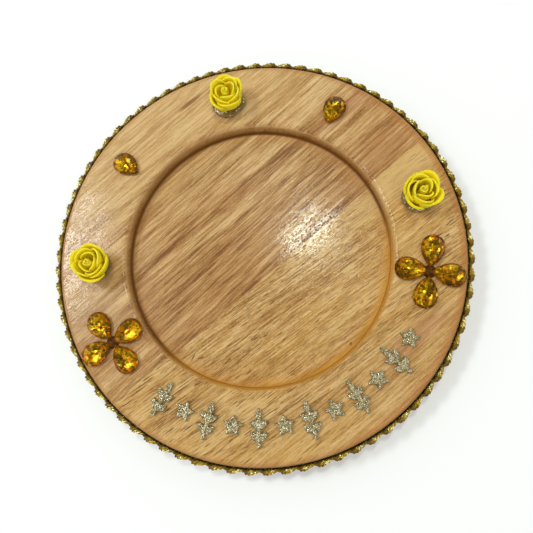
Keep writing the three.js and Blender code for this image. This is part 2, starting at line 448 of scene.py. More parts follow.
# For each stave: grain angle, pink and yellow shares, how strong pores, broad figure and fine fibre are,
# and tone bands across the grain, each a place in millimetres and a tone from 0, dark, to 1, pale
staves = [
    {"angle": 41, "pink": 0.15, "yellow": 0.0, "pores": 0.25, "contrast": 0.6, "fine": 0.65,
     "bands": [(61, 0.3), (66, 0.5), (72, 0.6), (79, 0.5), (88, 0.68), (101, 0.6), (121, 0.7)]},
    {"angle": 42, "pink": 0.3, "yellow": 0.0, "pores": 0.4, "contrast": 0.85, "fine": 0.75,
     "bands": [(-14, 0.2), (-8, 0.36), (-3, 0.66), (0, 0.62), (4, 0.36), (9, 0.34), (14, 0.36), (19, 0.5),
               (24, 0.38), (29, 0.6), (34, 0.4), (39, 0.3), (45, 0.6), (50, 0.68), (55, 0.52),
               (59, 0.74), (62, 0.5)]},
    {"angle": 35.5, "pink": 0.0, "yellow": 0.65, "pores": 1.0, "contrast": 0.7, "fine": 1.05,
     "bands": [(-89, 0.46), (-76, 0.44), (-70, 0.52), (-64, 0.66), (-56, 0.42), (-47, 0.52), (-37, 0.4),
               (-27, 0.54), (-20, 0.46), (-13, 0.62)]},
    {"angle": 39, "pink": 0.1, "yellow": 0.8, "pores": 0.6, "contrast": 0.8, "fine": 0.9,
     "bands": [(-121, 0.5), (-110, 0.56), (-102, 0.42), (-96, 0.52), (-88, 0.44)]},
]
# Marks in the wood, the first two of them painted shade on the left rim: the stave, the place along the
# grain and across it, length and width, the turn from the grain, the colour and how strong it is
marks = [
    # painted shade: these two darken the left rim where the key lamp falls brightest
    (1, (-80, 80), (80, 60), 0, (170, 134, 88), 0.35),
    (2, (-100, 45), (70, 80), 0, (170, 134, 88), 0.35),
    (2, (92, -3), (90, 26), 0, (164, 110, 62), 0.45),
    (2, (100, 31), (70, 12), 0, (166, 110, 76), 0.5),
    (3, (90, -22), (90, 26), 0, (214, 178, 118), 0.6),
    (4, (35, -96), (60, 14), 0, (172, 116, 78), 0.5),
    (1, (31, 102), (27, 4.5), -4, (122, 70, 32), 0.75),
    (1, (3, 104), (30, 5), 2, (150, 108, 66), 0.3),
    (3, (-69, -22), (9, 1.3), 24, (92, 48, 14), 0.9),
    (3, (-66, -25), (6, 1.1), -30, (92, 48, 14), 0.8),
    (3, (5.9, -75.7), (3, 1.7), 50, (48, 30, 14), 1.0),
    (3, (-20.7, -86.1), (5, 2), 20, (198, 112, 24), 0.8),
]


def makeBlank():
    deselectAll()
    half = board["radius"]
    floor = board["thickness"] - board["recessDepth"]
    foot = board["recessRadius"] - board["wallTaper"]
    corners = [
        (0, 0, None),
        (half, 0, "bottomRound"),
        (half, board["thickness"], "topRound"),
        (board["recessRadius"], board["thickness"], "shoulderRound"),
        (foot, floor, "floorFillet"),
        (0, floor, None),
    ]
    bpy.ops.mesh.primitive_plane_add(size=1)
    blank = bpy.context.object
    bpy.ops.object.mode_set(mode="EDIT")
    bpy.ops.mesh.merge(type="CENTER")
    for (x0, z0, _), (x1, z1, _) in zip(corners, corners[1:]):
        bpy.ops.mesh.extrude_region_move(TRANSFORM_OT_translate={"value": (x1 - x0, 0, z1 - z0)})
    for x, z, roundName in corners:
        if roundName:
            selectWhere(blank, lambda p: (p - Vector((x, 0, z))).length < 0.01)
            bpy.ops.mesh.bevel(offset=board[roundName], segments=board["roundSegments"], affect="VERTICES")
    bpy.ops.mesh.select_all(action="SELECT")
    bpy.ops.mesh.spin(steps=board["spinSteps"], angle=2 * pi, center=(0, 0, 0), axis=(0, 0, 1))
    bpy.ops.mesh.select_all(action="SELECT")
    bpy.ops.mesh.remove_doubles(threshold=board["weld"])
    bpy.ops.mesh.normals_make_consistent(inside=False)
    deselectAll()
    return blank


def makeWood(index, stave):
    finish = Finish(f"varnishedWood{index}", roughness=wood["roughness"], Specular_IOR_Level=wood["gloss"],
                    Coat_Roughness=wood["varnishRoughness"])
    place = finish.place()
    x, y, z = finish.split(place)
    radius = (x * x + y * y).maths("SQRT")
    across = finish.split(finish.turned(place, -board["grainAngle"]))[1]
    grain = finish.turned(place, -stave["angle"])
    shift = (index * 7.3, index * 3.1, index * 5.7)  # no two staves show the same figure

    def figured(name):
        return finish.sized(grain, figures[name], shift)

    warped = across + (finish.noise(figured("slow"), 2) - 0.5) * wood["warp"]
    low, high = stave["bands"][0][0], stave["bands"][-1][0]
    stops = [((at - low) / (high - low), tone) for at, tone in stave["bands"]]
    bands = finish.add("ShaderNodeValToRGB", {"stops": stops}, [(warped - low) / (high - low)])

    broad = finish.noise(figured("broad"), 3, 0.6).rise(0.3, 0.7)
    streak = finish.noise(figured("streak"), 2, 0.6).rise(0.32, 0.68)
    fibre = finish.noise(figured("fibre"), 2, 0.6).rise(0.32, 0.68)
    speck = finish.noise(figured("speck"), 1).rise(0.3, 0.7)
    pits = 1 - finish.cells(figured("pit"), "Distance").rise(0.36, 0.46)
    pooled = finish.noise(figured("pool"), 2).rise(0.42, 0.54)
    tone = bands + (broad - 0.5) * (wood["broad"] * stave["contrast"])
    tone += (streak - 0.5) * (wood["streak"] * stave["contrast"])
    onRim = radius.rise(*zones["rim"])
    fine = 1 - onRim * 0.2
    tone += ((fibre - 0.5) * wood["fibre"] + (speck - 0.5) * wood["speck"]) * (fine * stave["fine"])
    tone += onRim * wood["rimPaler"]
    tones = [(0.0, wood["dark"]), (0.5, wood["middle"]), (1.0, wood["light"])]
    colour = finish.add("ShaderNodeValToRGB", {"stops": tones}, [tone.clamped()])
    drift = finish.noise(figured("drift"), 2).rise(0.35, 0.65)
    colour = finish.blend(drift * stave["pink"], colour, wood["pink"], "MULTIPLY")
    colour = finish.blend((1 - drift * 0.6) * stave["yellow"] * 0.5, colour, wood["yellow"])

    # open pores: short dark dashes along the grain
    dashes = finish.noise(figured("dash"), 1, 0.4)
    clumps = finish.noise(figured("clump"), 2).rise(0.3, 0.7)
    pores = dashes.rise(0.57, 0.68) * (0.4 + clumps * 0.6)
    colour = finish.blend(pores * stave["pores"] * wood["poreShare"], colour, wood["pore"])
    for owner, *mark in marks:
        if owner == index:
            colour = addMark(finish, place, colour, streak, *mark)

    # the steep wall, painted darker towards its foot as shade and paler on the lower, lit side; the varnish
    # gathered in its foot, with painted contact shade, and stained below it; and the worn outer round
    # painted shade on the wall, darker towards its foot and paler on the lower, lit side
    wall = radius.rise(*zones["wallFoot"]) * radius.rise(*zones["wallShoulder"]) * z.rise(*zones["belowRim"])
    lower = (x * 0.5 - y * 0.86).rise(*zones["lowerSide"])
    shade = finish.blend(z.rise(*zones["upTheWall"]), wood["wall"], wood["wallTop"])
    shade = finish.blend(lower, shade, wood["lowerWall"])
    onFloor = z.rise(*zones["onFloor"])

    def ring(name):
        inset, width = zones[name]
        return radius.near(board["recessRadius"] - board["wallTaper"] - inset, width)

    # the foot ring: gathered varnish and painted contact shade, weaker and orange on the lower, lit side
    foot = ring("footRing") * z.rise(*zones["aboveFoot"])
    footShare = wood["footShare"] - lower * wood["lowerFootLess"]
    stain = ring("stainRing") * onFloor * lower * x.rise(*zones["stainedSide"]) * streak
    line = ring("lineRing") * z.rise(*zones["aboveLine"]) * lower
    band = radius.rise(*zones["band"]) * x.rise(*zones["bandSide"])
    for amount, tint in [
        (wall * wood["wallShare"], shade),
        (radius.rise(*zones["inner"]) * onFloor * wood["innerShare"], wood["inner"]),
        (foot * footShare, finish.blend(lower, wood["foot"], wood["lowerFoot"])),
        (stain * wood["stainShare"], wood["stain"]),
        (line * wood["lineShare"], wood["footLine"]),
        (radius.rise(*zones["edge"]) * wood["edgeShare"], wood["edge"]),
        (band * wood["bandShare"], wood["edge"]),
    ]:
        colour = finish.blend(amount, colour, tint)

    relief = fibre * 0.3 + speck * 0.55 - pores * 0.8 - pits * 0.6
    varnish = (1 - pits) * (1 - pores * 0.8) * (1 - foot * 0.7) * (pooled * 0.6 + 0.4) * wood["varnish"]
    roughness = foot * wood["footRoughness"] + wood["roughness"]
    return finish.set(Base_Color=colour, Roughness=roughness, Coat_Weight=varnish,
                      Normal=finish.bump(relief, wood["relief"]))


def addMark(finish, place, colour, ragged, at, size, turn, tone, depth):  # an oval with a ragged edge
    middle = Matrix.Rotation(radians(board["grainAngle"]), 3, "Z") @ Vector((*at, 0))
    local = finish.add("ShaderNodeVectorMath", {"operation": "SUBTRACT"}, [place, middle])
    local = finish.turned(local, -board["grainAngle"] - turn)
    scale = (2 / size[0], 2 / size[1], 0)
    local = finish.add("ShaderNodeVectorMath", {"operation": "MULTIPLY"}, [local, scale])
    reach = finish.add("ShaderNodeVectorMath", {"operation": "LENGTH"}, [local], "Value")
    shade = (reach + (ragged - 0.5) * 0.5).rise(1.1, 0.3)
    return finish.blend(shade * depth, colour, srgb(*tone))


def makeBoard():
    blank = makeBlank()
    turn = radians(board["grainAngle"])
    across = Vector((-sin(turn), cos(turn), 0))
    edges = [board["radius"] + 1, *board["seams"], -board["radius"] - 1]
    for index, (upper, lower) in enumerate(zip(edges, edges[1:])):
        stave = copyOf(blank, "stave")
        makeActive(stave)
        bpy.ops.object.mode_set(mode="EDIT")
        for edge, keepBelow in ((upper, True), (lower, False)):
            inset = -board["glueLine"] / 2 if keepBelow else board["glueLine"] / 2
            bpy.ops.mesh.select_all(action="SELECT")
            bpy.ops.mesh.bisect(plane_co=across * (edge + inset), plane_no=across, use_fill=True,
                                clear_outer=keepBelow, clear_inner=not keepBelow)
        deselectAll()
        finish = makeWood(index + 1, staves[index])
        finishPiece(stave, f"boardStave{index + 1}", finish, [f"board_stave_{index + 1}"])
        applyModifier(stave, "WEIGHTED_NORMAL", keep_sharp=True, weight=80)
    bpy.data.objects.remove(blank)


makeBoard()
print("board ready")


# Braid: slanting metallic yarns in two scalloped rows, a cord along the middle and a backing tape
braid = {
    "scallops": 77,
    "middle": 10.05,
    "halfHeight": 6.75,
    "gap": 0.3,
    "valley": 2.5,
    "rise": 2.3,
    "lead": 0.36,  # where a scallop has its crest
    "fullness": 1.2,
    "lower": 0.12,
    "yarns": 6,
    "yarnThickness": 1.22,
    "slant": 5.2,
    "arcSteps": 13,
    "arcFrom": -80,
    "arcTo": 182,
    "crest": 5.2,
    "cordThickness": 1.0,
    "cordPitch": 4.2,
    "cordOut": 2.7,
    "cordStep": 0.7,
    "cordStart": 0.3,
    "cordWind": 0.48,
    "liningColumns": 8,
    "liningRows": 9,
    "liningInset": 0.78,
    "tapeThickness": 0.7,
    "tapeSides": 180,
    "tapeShare": 0.97,
    "tape": srgb(124, 92, 50),
    "tapePale": srgb(176, 144, 86),
    "buttAngle": 262,
}
gold = {
    "shade": srgb(92, 68, 30),
    "deep": srgb(84, 60, 16),
    "body": srgb(190, 156, 50),
    # glint: the colour of painted glints
    "glint": srgb(252, 250, 184),
    "twistPerArc": 9,
    "flake": 0.8,
    "tonePitch": 9.8,
    "toneFrom": 1.1,
    "toneOver": 0.9,
    "glints": (1.0, 1.16),
    "glintTone": 0.42,
    "shaded": (2.1, 1.1),  # painted shade beside the wood: none this far out from the wood, full this near
    "shadeShare": 0.85,
    "relief": 0.16,
}


def scallop(place):  # how far a scallop stands out, from 0 to 1, at a place along it
    lead = braid["lead"]
    bent = place / lead if place < lead else (1 - place) / (1 - lead)
    return sin(bent * pi / 2) ** braid["fullness"]


def rowShift(side):  # the lower row stands half a scallop on
    return 0 if side > 0 else 0.5


def aroundRim(along, out, up):  # a place along the board's edge, out from the wood and up from the table
    return roundAxis(board["radius"] + out, radians(braid["buttAngle"]) + along / board["radius"], up)


def onScallop(side, place, t, inset):  # a place on the skin of a scallop, or inset from it
    pitch = 2 * pi * board["radius"] / braid["scallops"]
    stand = scallop(place % 1)
    front = braid["valley"] + braid["rise"] * stand - inset
    back = braid["gap"] + braid["tapeThickness"] + inset
    top = braid["halfHeight"] * (1 - braid["lower"] * (1 - stand)) - inset
    angle = radians(braid["arcFrom"] + (braid["arcTo"] - braid["arcFrom"]) * t)
    out = (front + back) / 2 + (front - back) / 2 * cos(angle)
    reach = top - braid["crest"] if angle > 0 else braid["crest"] - 0.5
    up = braid["crest"] + reach * sin(angle)
    along = (place + rowShift(side)) * pitch + (t - 0.5) * braid["slant"]
    return aroundRim(along, out, braid["middle"] + side * up)


def makeRow(side):  # the yarns of one row: arcs from the middle, out, over the edge and back
    inset, paths = braid["yarnThickness"] / 2, []
    steps = [step / (braid["arcSteps"] - 1) for step in range(braid["arcSteps"])]
    for index in range(braid["yarns"]):
        paths.append([onScallop(side, (index + 0.5) / braid["yarns"], t, inset) for t in steps])
    bundle = polylineTube("bundle", paths, braid["yarnThickness"])
    row = [bundle]
    for index in range(1, braid["scallops"]):
        twin = copyOf(bundle, "bundle")
        twin.rotation_euler[2] = 2 * pi * index / braid["scallops"]
        row.append(twin)
    makeActive(*row)
    bpy.ops.object.transform_apply()
    row = join(row)
    paintScallopLightAndShade(row, side)
    return row


def paintScallopLightAndShade(row, side):  # painted light and shade: a scallop is painted pale on its crest and dark in the hollow beside it
    tones = row.data.color_attributes.new("tone", "FLOAT_COLOR", "POINT")
    for vertex, tone in zip(row.data.vertices, tones.data):
        x, y, z = vertex.co
        t = (z - braid["middle"]) * side / braid["halfHeight"] * 0.5 + 0.35
        turned = (atan2(y, x) - radians(braid["buttAngle"])) / (2 * pi) % 1
        along = turned * braid["scallops"] - (t - 0.5) * braid["slant"] / gold["tonePitch"] - rowShift(side)
        out = hypot(x, y) - board["radius"]
        value = scallop(along % 1) ** 2 * min(max((out - gold["toneFrom"]) / gold["toneOver"], 0), 1)
        tone.color = (value, value, value, 1)


def makeLining(side):  # what the yarns are wound on
    deselectAll()
    columns = braid["scallops"] * braid["liningColumns"]
    bpy.ops.mesh.primitive_grid_add(x_subdivisions=columns, y_subdivisions=braid["liningRows"], size=2)
    lining = bpy.context.object
    inset = braid["yarnThickness"] * braid["liningInset"]
    moveVertices(lining, lambda p: onScallop(side, (p.x + 1) / 2 * braid["scallops"], (p.y + 1) / 2, inset))
    return lining


def makeGold():
    finish = Finish("goldYarn", roughness=0.3, Metallic=1.0)
    along, around, _ = finish.split(finish.add("ShaderNodeTexCoord", {}, {}, "UV"))
    twist = (along * gold["twistPerArc"] + around * 2) * 2 * pi
    wound = twist.maths("SINE") * 0.5 + 0.5
    flake, tilt, _ = finish.split(finish.cells(finish.even(gold["flake"])))
    tone = finish.add("ShaderNodeAttribute", {"attribute_name": "tone"}, {}, "Fac")
    # painted light: the yarns are lighter along each strand's lit side and on the scallop crests, with
    # painted glints that are pale and less metallic
    bright = (flake + tone * gold["glintTone"]).rise(*gold["glints"])
    lit = wound * 0.35 + tilt * 0.25 + tone * 0.5
    colour = finish.blend(lit.clamped(), gold["deep"], gold["body"])
    colour = finish.blend(bright, colour, gold["glint"])
    # painted shade on the yarns beside the wood
    x, y, _ = finish.split(finish.place())
    paintedShadeNearWood = (x * x + y * y).maths("SQRT").rise(*(board["radius"] + out for out in gold["shaded"]))
    colour = finish.blend(paintedShadeNearWood * gold["shadeShare"], colour, gold["shade"])
    normal = finish.bump(wound * 0.6 + flake * 0.8, gold["relief"])
    return finish.set(Base_Color=colour, Roughness=0.45 - bright * 0.2, Metallic=1 - bright * 0.75,
                      Normal=normal)


def makeBraid():
    length = 2 * pi * board["radius"]
    steps = int(length / braid["cordStep"])
    reach = braid["cordThickness"] * braid["cordWind"]
    cords = []
    for phase in (0, pi):
        path = []
        for step in range(steps):
            along = length * step / steps + braid["cordStart"]
            turn = 2 * pi * along / braid["cordPitch"] + phase
            path.append(aroundRim(along, braid["cordOut"] + reach * cos(turn),
                                  braid["middle"] + reach * sin(turn)))
        cords.append(path)
    yarns = join([makeRow(1), makeRow(-1), polylineTube("cord", cords, braid["cordThickness"])])
    yarns.data.materials.append(makeGold())
    tape = join([makeTape(), makeLining(1), makeLining(-1)])
    tape.data.materials.append(makeTapeFinish())
    finishPiece(join([yarns, tape]), "edgeBraid", None, ["edge_braid"], 60)


def makeTape():
    deselectAll()
    inner = board["radius"] + braid["gap"]
    half = braid["halfHeight"] * braid["tapeShare"]
    bpy.ops.mesh.primitive_circle_add(vertices=braid["tapeSides"], radius=inner,
                                      location=(0, 0, braid["middle"] - half))
    tape = bpy.context.object
    bpy.ops.object.transform_apply()
    bpy.ops.object.mode_set(mode="EDIT")
    bpy.ops.mesh.select_all(action="SELECT")
    bpy.ops.mesh.extrude_region_move(TRANSFORM_OT_translate={"value": (0, 0, half * 2)})
    deselectAll()
    applyModifier(tape, "SOLIDIFY", thickness=braid["tapeThickness"], offset=1, use_even_offset=True)
    return tape


def makeTapeFinish():
    finish = Finish("oliveTape", roughness=0.85)
    weave = finish.noise(finish.sized(finish.place(), (0.8, 0.8, 0.5)), 2)
    return finish.set(Base_Color=finish.blend(weave, braid["tape"], braid["tapePale"]),
                      Normal=finish.bump(weave, 0.2))


makeBraid()
print("braid ready")


# Roses: foam petals in two rows round a small cup and bud, each rose on a disc of clear glue
rose = {
    "foam": 1.0,
    "padHeight": 2.6,
    "padRadius": 10.2,
    "padFlatness": 0.55,
    "padFloor": 0.25,  # the sphere is cut flat this far below its middle
    "padShare": 0.96,
    "padLobes": (0.01, 0.03),
    "film": 0.3,
    "beads": 18,
    "beadSizes": (0.3, 0.5),
    "beadReach": (0.66, 0.9),
    "beadSink": 0.1,
    # angle and distance of each rose from the middle of the tray, its own turn, how far it opens,
    # the size of its glue, and its random seed
    "places": {"top": (100.5, 97.6, 20, 1.0, 1.08, 3), "left": (184.6, 96.5, 75, 1.07, 0.93, 8),
               "right": (17.5, 99, 130, 1.02, 0.97, 5)},
}
rimTop = board["thickness"] + rose["film"]  # where the trims stand
# Petal rows: how many petals, the span of one in degrees, radius at the foot and belly, lowest and
# highest edge above the glue, how far the top closes in and its lip rolls out, how far a petal laps its
# neighbour and its sides tuck in, how much lower a petal may end, and the first direction in degrees
petalRows = {
    "outer_petals": {"petals": 4, "span": 122, "foot": 6.0, "belly": 9.4, "low": 0.3, "high": 12.6,
                     "close": 0.4, "roll": 1.3, "lap": 0.9, "tuck": 1.3, "dip": 3.2, "first": 0},
    "inner_petals": {"petals": 4, "span": 118, "foot": 4.8, "belly": 7.8, "low": 1.4, "high": 14.4,
                     "close": 0.7, "roll": 0.8, "lap": 0.9, "tuck": 0.7, "dip": 2.6, "first": 47},
    "heart": {"petals": 3, "span": 140, "foot": 3.4, "belly": 5.4, "low": 2.6, "high": 13.8,
              "close": 0.7, "roll": 0.5, "lap": 0.7, "tuck": 0.3, "dip": 1.8, "first": 20},
}
petal = {  # what all petals share
    "wander": 13,
    "push": 0.3,
    "footShare": 0.6,
    "rounding": 0.34,
    "edgeWave": 0.025,
    "fullAt": 1.5,
    "closeFrom": 0.5,
    "rollFrom": 0.78,
    "ripple": 0.35,
    "lipWave": 0.3,
    "columns": 16,
    "rows": 10,
}
bud = {
    "turns": 1.7,
    "start": 0.6,
    "inner": 0.3,
    "outer": 2.6,
    "low": 3.2,
    "high": 12.8,
    "sink": 1.4,
    "sinkFrom": 0.3,
    "pinch": 0.4,
    "pinchFrom": 0.8,
    "ripple": 0.16,
    "uneven": 0.3,
    "sheet": 0.95,
    "columns": 44,
    "rows": 8,
}
foam = {
    "body": srgb(242, 218, 32),
    # painted light: deep lifts the shaded lower parts of the rose, and lip lightens the petal tops as if lit
    "deep": srgb(255, 222, 24),
    "lip": srgb(242, 226, 84),
    "deepTo": (26, 35),
    "lipFrom": (32, 36.5),
    "lipShare": 0.6,
    "roughness": 0.7,
    "gloss": 0.3,
    "glow": 0.75,
    "glowRadius": (1.0, 0.85, 0.2),
    "glowDepth": 4,
    "pore": 0.4,
    "mottle": 2.2,
    "relief": 0.1,
}
glue = {
    "body": srgb(204, 186, 112),
    "pale": srgb(236, 222, 158),
    # the bubbles are painted pale, as glints
    "bubble": srgb(236, 232, 214),
    "bubblePale": srgb(255, 255, 250),
    "clear": 0.86,
    "gloss": 0.35,
    "cloud": 3,
    "relief": 0.3,
}


def petalShape(row, centre, opening, draw):
    high = row["high"] - draw.uniform(0, row["dip"])
    wave, push = draw.uniform(0, 6.28), draw.uniform(-petal["push"], petal["push"])
    footShare, closeFrom, rollFrom = petal["footShare"], petal["closeFrom"], petal["rollFrom"]

    def where(p):  # a flat sheet, -1 to 1 across and 0 to 1 up, bent into its place in the cup
        across, up = p.x, p.y
        spread = row["span"] / 2 * (footShare + (1 - footShare) * up ** 0.5)
        angle = radians(centre + across * spread)
        scallops = sin(4 * across + wave)
        rounding = 1 - petal["rounding"] * abs(across) ** 2.6 + petal["edgeWave"] * scallops
        swell = sin(min(up * petal["fullAt"], 1) * pi / 2) ** 0.8
        closing, roll = max(up - closeFrom, 0) / (1 - closeFrom), max(up - rollFrom, 0) / (1 - rollFrom)
        radius = row["foot"] + (row["belly"] - row["foot"] + push) * swell
        radius += row["lap"] * across * up - row["close"] * closing ** 1.5 - row["tuck"] * across ** 4 * up
        radius += up * petal["ripple"] * sin(2.6 * across + wave)
        radius += roll ** 1.8 * (row["roll"] * (1 - 0.4 * across ** 2) + petal["lipWave"] * scallops)
        radius *= 1 + (opening - 1) * up
        height = row["low"] + (high - row["low"]) * up * rounding - 0.5 * row["roll"] * roll ** 2.5
        return roundAxis(radius, angle, height)

    return where


def foamSheet(columns, rows, where, thickness):  # a bent sheet with rounded edges
    deselectAll()
    bpy.ops.mesh.primitive_grid_add(x_subdivisions=columns, y_subdivisions=rows, size=2)
    sheet = bpy.context.object
    moveVertices(sheet, lambda p: Vector((p.x, (p.y + 1) / 2, 0)))
    moveVertices(sheet, where)
    applyModifier(sheet, "SOLIDIFY", thickness=thickness, offset=0)
    applyModifier(sheet, "BEVEL", width=0.28 * thickness, segments=2, limit_method="ANGLE")
    applyModifier(sheet, "SUBSURF", levels=1, render_levels=1)
    return sheet


def makePetals(row, opening, seed):
    draw = random.Random(seed)
    petals = []
    for index in range(row["petals"]):
        centre = row["first"] + 360 * index / row["petals"] + draw.uniform(-petal["wander"], petal["wander"])
        shape = petalShape(row, centre, opening, draw)
        petals.append(foamSheet(petal["columns"], petal["rows"], shape, rose["foam"]))
    return join(petals)


def makeBud():  # a strip rolled up, its outer end lower than its heart
    def where(p):
        turn, up = (p.x + 1) / 2, p.y
        angle = turn * 2 * pi * bud["turns"] + bud["start"]
        pinched = max(up - bud["pinchFrom"], 0) / (1 - bud["pinchFrom"])
        radius = bud["inner"] + (bud["outer"] - bud["inner"]) * turn - bud["pinch"] * pinched
        radius += bud["ripple"] * sin(3 * angle)
        sink = bud["sink"] * max(turn - bud["sinkFrom"], 0) - bud["uneven"] * sin(2.3 * angle)
        height = bud["low"] + (bud["high"] - bud["low"] - sink) * up
        return roundAxis(radius, angle, height)

    return foamSheet(bud["columns"], bud["rows"], where, bud["sheet"])


def makeFoam():
    finish = Finish("yellowFoam", roughness=foam["roughness"], Specular_IOR_Level=foam["gloss"],
                    Subsurface_Weight=foam["glow"], Subsurface_Radius=foam["glowRadius"],
                    Subsurface_Scale=foam["glowDepth"] * mm)
    z = finish.split(finish.place())[2]
    pores = finish.cells(finish.even(foam["pore"]), "Distance")
    mottle = finish.noise(finish.even(foam["mottle"]), 3)
    # painted light: the lower parts are coloured warmer and brighter to lift their shade, and the petal tops
    # paler as if lit
    colour = finish.blend(z.rise(*foam["deepTo"]), foam["deep"], foam["body"])
    lip = z.rise(*foam["lipFrom"]) * mottle.rise(0.3, 0.7) * foam["lipShare"]
    return finish.set(Base_Color=finish.blend(lip, colour, foam["lip"]),
                      Normal=finish.bump(pores * 0.6 + mottle * 0.8, foam["relief"]))


def makePad(seed, size, glueFinish, beadFinish):  # a flat dome of glue with bubbles near its edge, the bubbles painted pale as glints
    draw = random.Random(seed)
    deselectAll()
    bpy.ops.mesh.primitive_uv_sphere_add(segments=48, ring_count=24, radius=1)
    pad = bpy.context.object
    lobes = [(draw.uniform(0, 6.28), draw.uniform(*rose["padLobes"]), count) for count in (2, 3, 5)]
    floor = rose["padFloor"]

    def surface(reach):
        rounded = (sqrt(max(0, 1 - reach ** 2)) + floor) / (1 + floor)
        return rose["padHeight"] * rounded ** rose["padFlatness"]

    def where(p):
        angle = atan2(p.y, p.x)
        wave = sum(much * sin(count * angle + at) for at, much, count in lobes)
        wide = rose["padRadius"] * size * (rose["padShare"] + wave)
        height = 0 if p.z <= -floor else surface(p.xy.length) * (p.z > 0 or p.z / floor + 1)
        return Vector((p.x * wide, p.y * wide, height))

    moveVertices(pad, where)
    pad.data.materials.append(glueFinish)
    parts = [pad]
    for _ in range(rose["beads"]):
        angle, reach = draw.uniform(0, 6.28), draw.uniform(*rose["beadReach"])
        deselectAll()
        bpy.ops.mesh.primitive_ico_sphere_add(subdivisions=2, radius=draw.uniform(*rose["beadSizes"]))
        bead = bpy.context.object
        bead.location = roundAxis(reach * rose["padRadius"] * size, angle, surface(reach) - rose["beadSink"])
        bpy.ops.object.transform_apply()
        bead.data.materials.append(beadFinish)
        parts.append(bead)
    return join(parts)


def makeGlue():
    finish = Finish("clearGlue", roughness=0.16, IOR=1.42, Transmission_Weight=glue["clear"],
                    Specular_IOR_Level=glue["gloss"])
    cloud = finish.noise(finish.even(glue["cloud"]), 3)
    colour = finish.blend(cloud.rise(0.35, 0.65), glue["body"], glue["pale"])
    return finish.set(Base_Color=colour, Normal=finish.bump(cloud, glue["relief"]))


def makeBubbleGlintFinish():
    finish = Finish("glueBubbles", roughness=0.12, Metallic=0.4)
    cloud = finish.noise(finish.even(1), 2)
    return finish.set(Base_Color=finish.blend(cloud, glue["bubble"], glue["bubblePale"]))


def placeOnRim(piece, angle, distance, turned, lift=0):
    makeActive(piece)
    piece.rotation_euler = (0, 0, radians(turned))
    piece.location = roundAxis(distance, radians(angle), rimTop + lift)
    bpy.ops.object.transform_apply()
    return piece


def makeRoses():
    foamFinish, glueFinish, beadFinish = makeFoam(), makeGlue(), makeBubbleGlintFinish()
    for which, (angle, distance, turned, opening, padSize, seed) in rose["places"].items():
        pad = placeOnRim(makePad(seed, padSize, glueFinish, beadFinish), angle, distance, turned)
        finishPiece(pad, f"rose_{which}_glue_disc", None, [f"rose_{which}_glue_pad"], 60)
        for number, (node, row) in enumerate(petalRows.items()):
            petals = makePetals(row, opening if number == 0 else 1, seed * 10 + number)
            if node == "heart":
                petals = join([petals, makeBud()])
            placeOnRim(petals, angle, distance, turned, rose["padHeight"] + rose["film"])
            finishPiece(petals, f"rose_{which}_{node}_foam", foamFinish,
                        [f"rose_{which}_{node}"], 180)


makeRoses()
print("roses ready")


# Rhinestones: a clear amber pear with a faceted crown over a mirrored, faceted foil
stone = {
    "length": 18.5,
    "width": 13.6,
    "tip": 0.6,  # 1 is a sharp tip, 0 an ellipse
    "girdle": 1.6,
    "sides": 18,
    # each ring: scale of the outline, height, and 1 where it is turned half a facet
    "crown": [(0.9, 0.0, 0), (1.0, 1.0, 0), (1.0, 1.6, 0), (0.84, 2.5, 1), (0.68, 3.5, 0), (0.5, 4.4, 1)],
    "foil": [(0.88, 0.1, 0), (0.996, 1.58, 0), (0.83, 1.2, 1), (0.63, 0.8, 0), (0.43, 0.6, 1),
             (0.22, 0.5, 0)],
    "foilCentre": 0.7,
    "dab": 1.7,  # how far the glue in the middle of a flower reaches past the tips
    "dabHeight": 1.7,
}
amber = {
    "clear": srgb(255, 232, 120),
    "gleam": srgb(255, 214, 90),
    "glassy": 0.8,
    "gloss": 0.05,
    "mould": 2.5,
    # the dab: amber glue, darkened with painted shade between the tips
    "dab": srgb(52, 28, 2),
    "dabPale": srgb(98, 58, 5),
    "rimHeight": 1.4,
    "rimShare": 0.85,
    "chance": 0.68,  # a facet's painted reflection is partly by chance and partly by the way it faces
    "facing": 0.31,
    # from dark to bright
    "rim": [(108, 58, 2), (131, 72, 3), (146, 83, 4), (161, 94, 6), (173, 104, 7), (245, 153, 11)],
    "facets": [(79, 58, 4), (94, 72, 6), (108, 85, 7), (123, 97, 8), (144, 112, 10), (169, 128, 11),
               (223, 135, 11), (240, 193, 25), (245, 212, 42), (245, 221, 77)],
}


def pear(p, scale):  # a place on the unit circle goes to the outline, with its tip towards -X
    angle, tip = atan2(p.y, p.x), stone["tip"]
    widest = (1 + tip) / (2 + tip)
    fullest = 2 * sqrt(widest * (1 - widest)) * widest ** (tip / 2)
    side = sin(angle) * abs(cos(angle / 2)) ** tip / fullest
    return Vector((stone["length"] / 2 * cos(angle) * scale, stone["width"] / 2 * side * scale, 0))


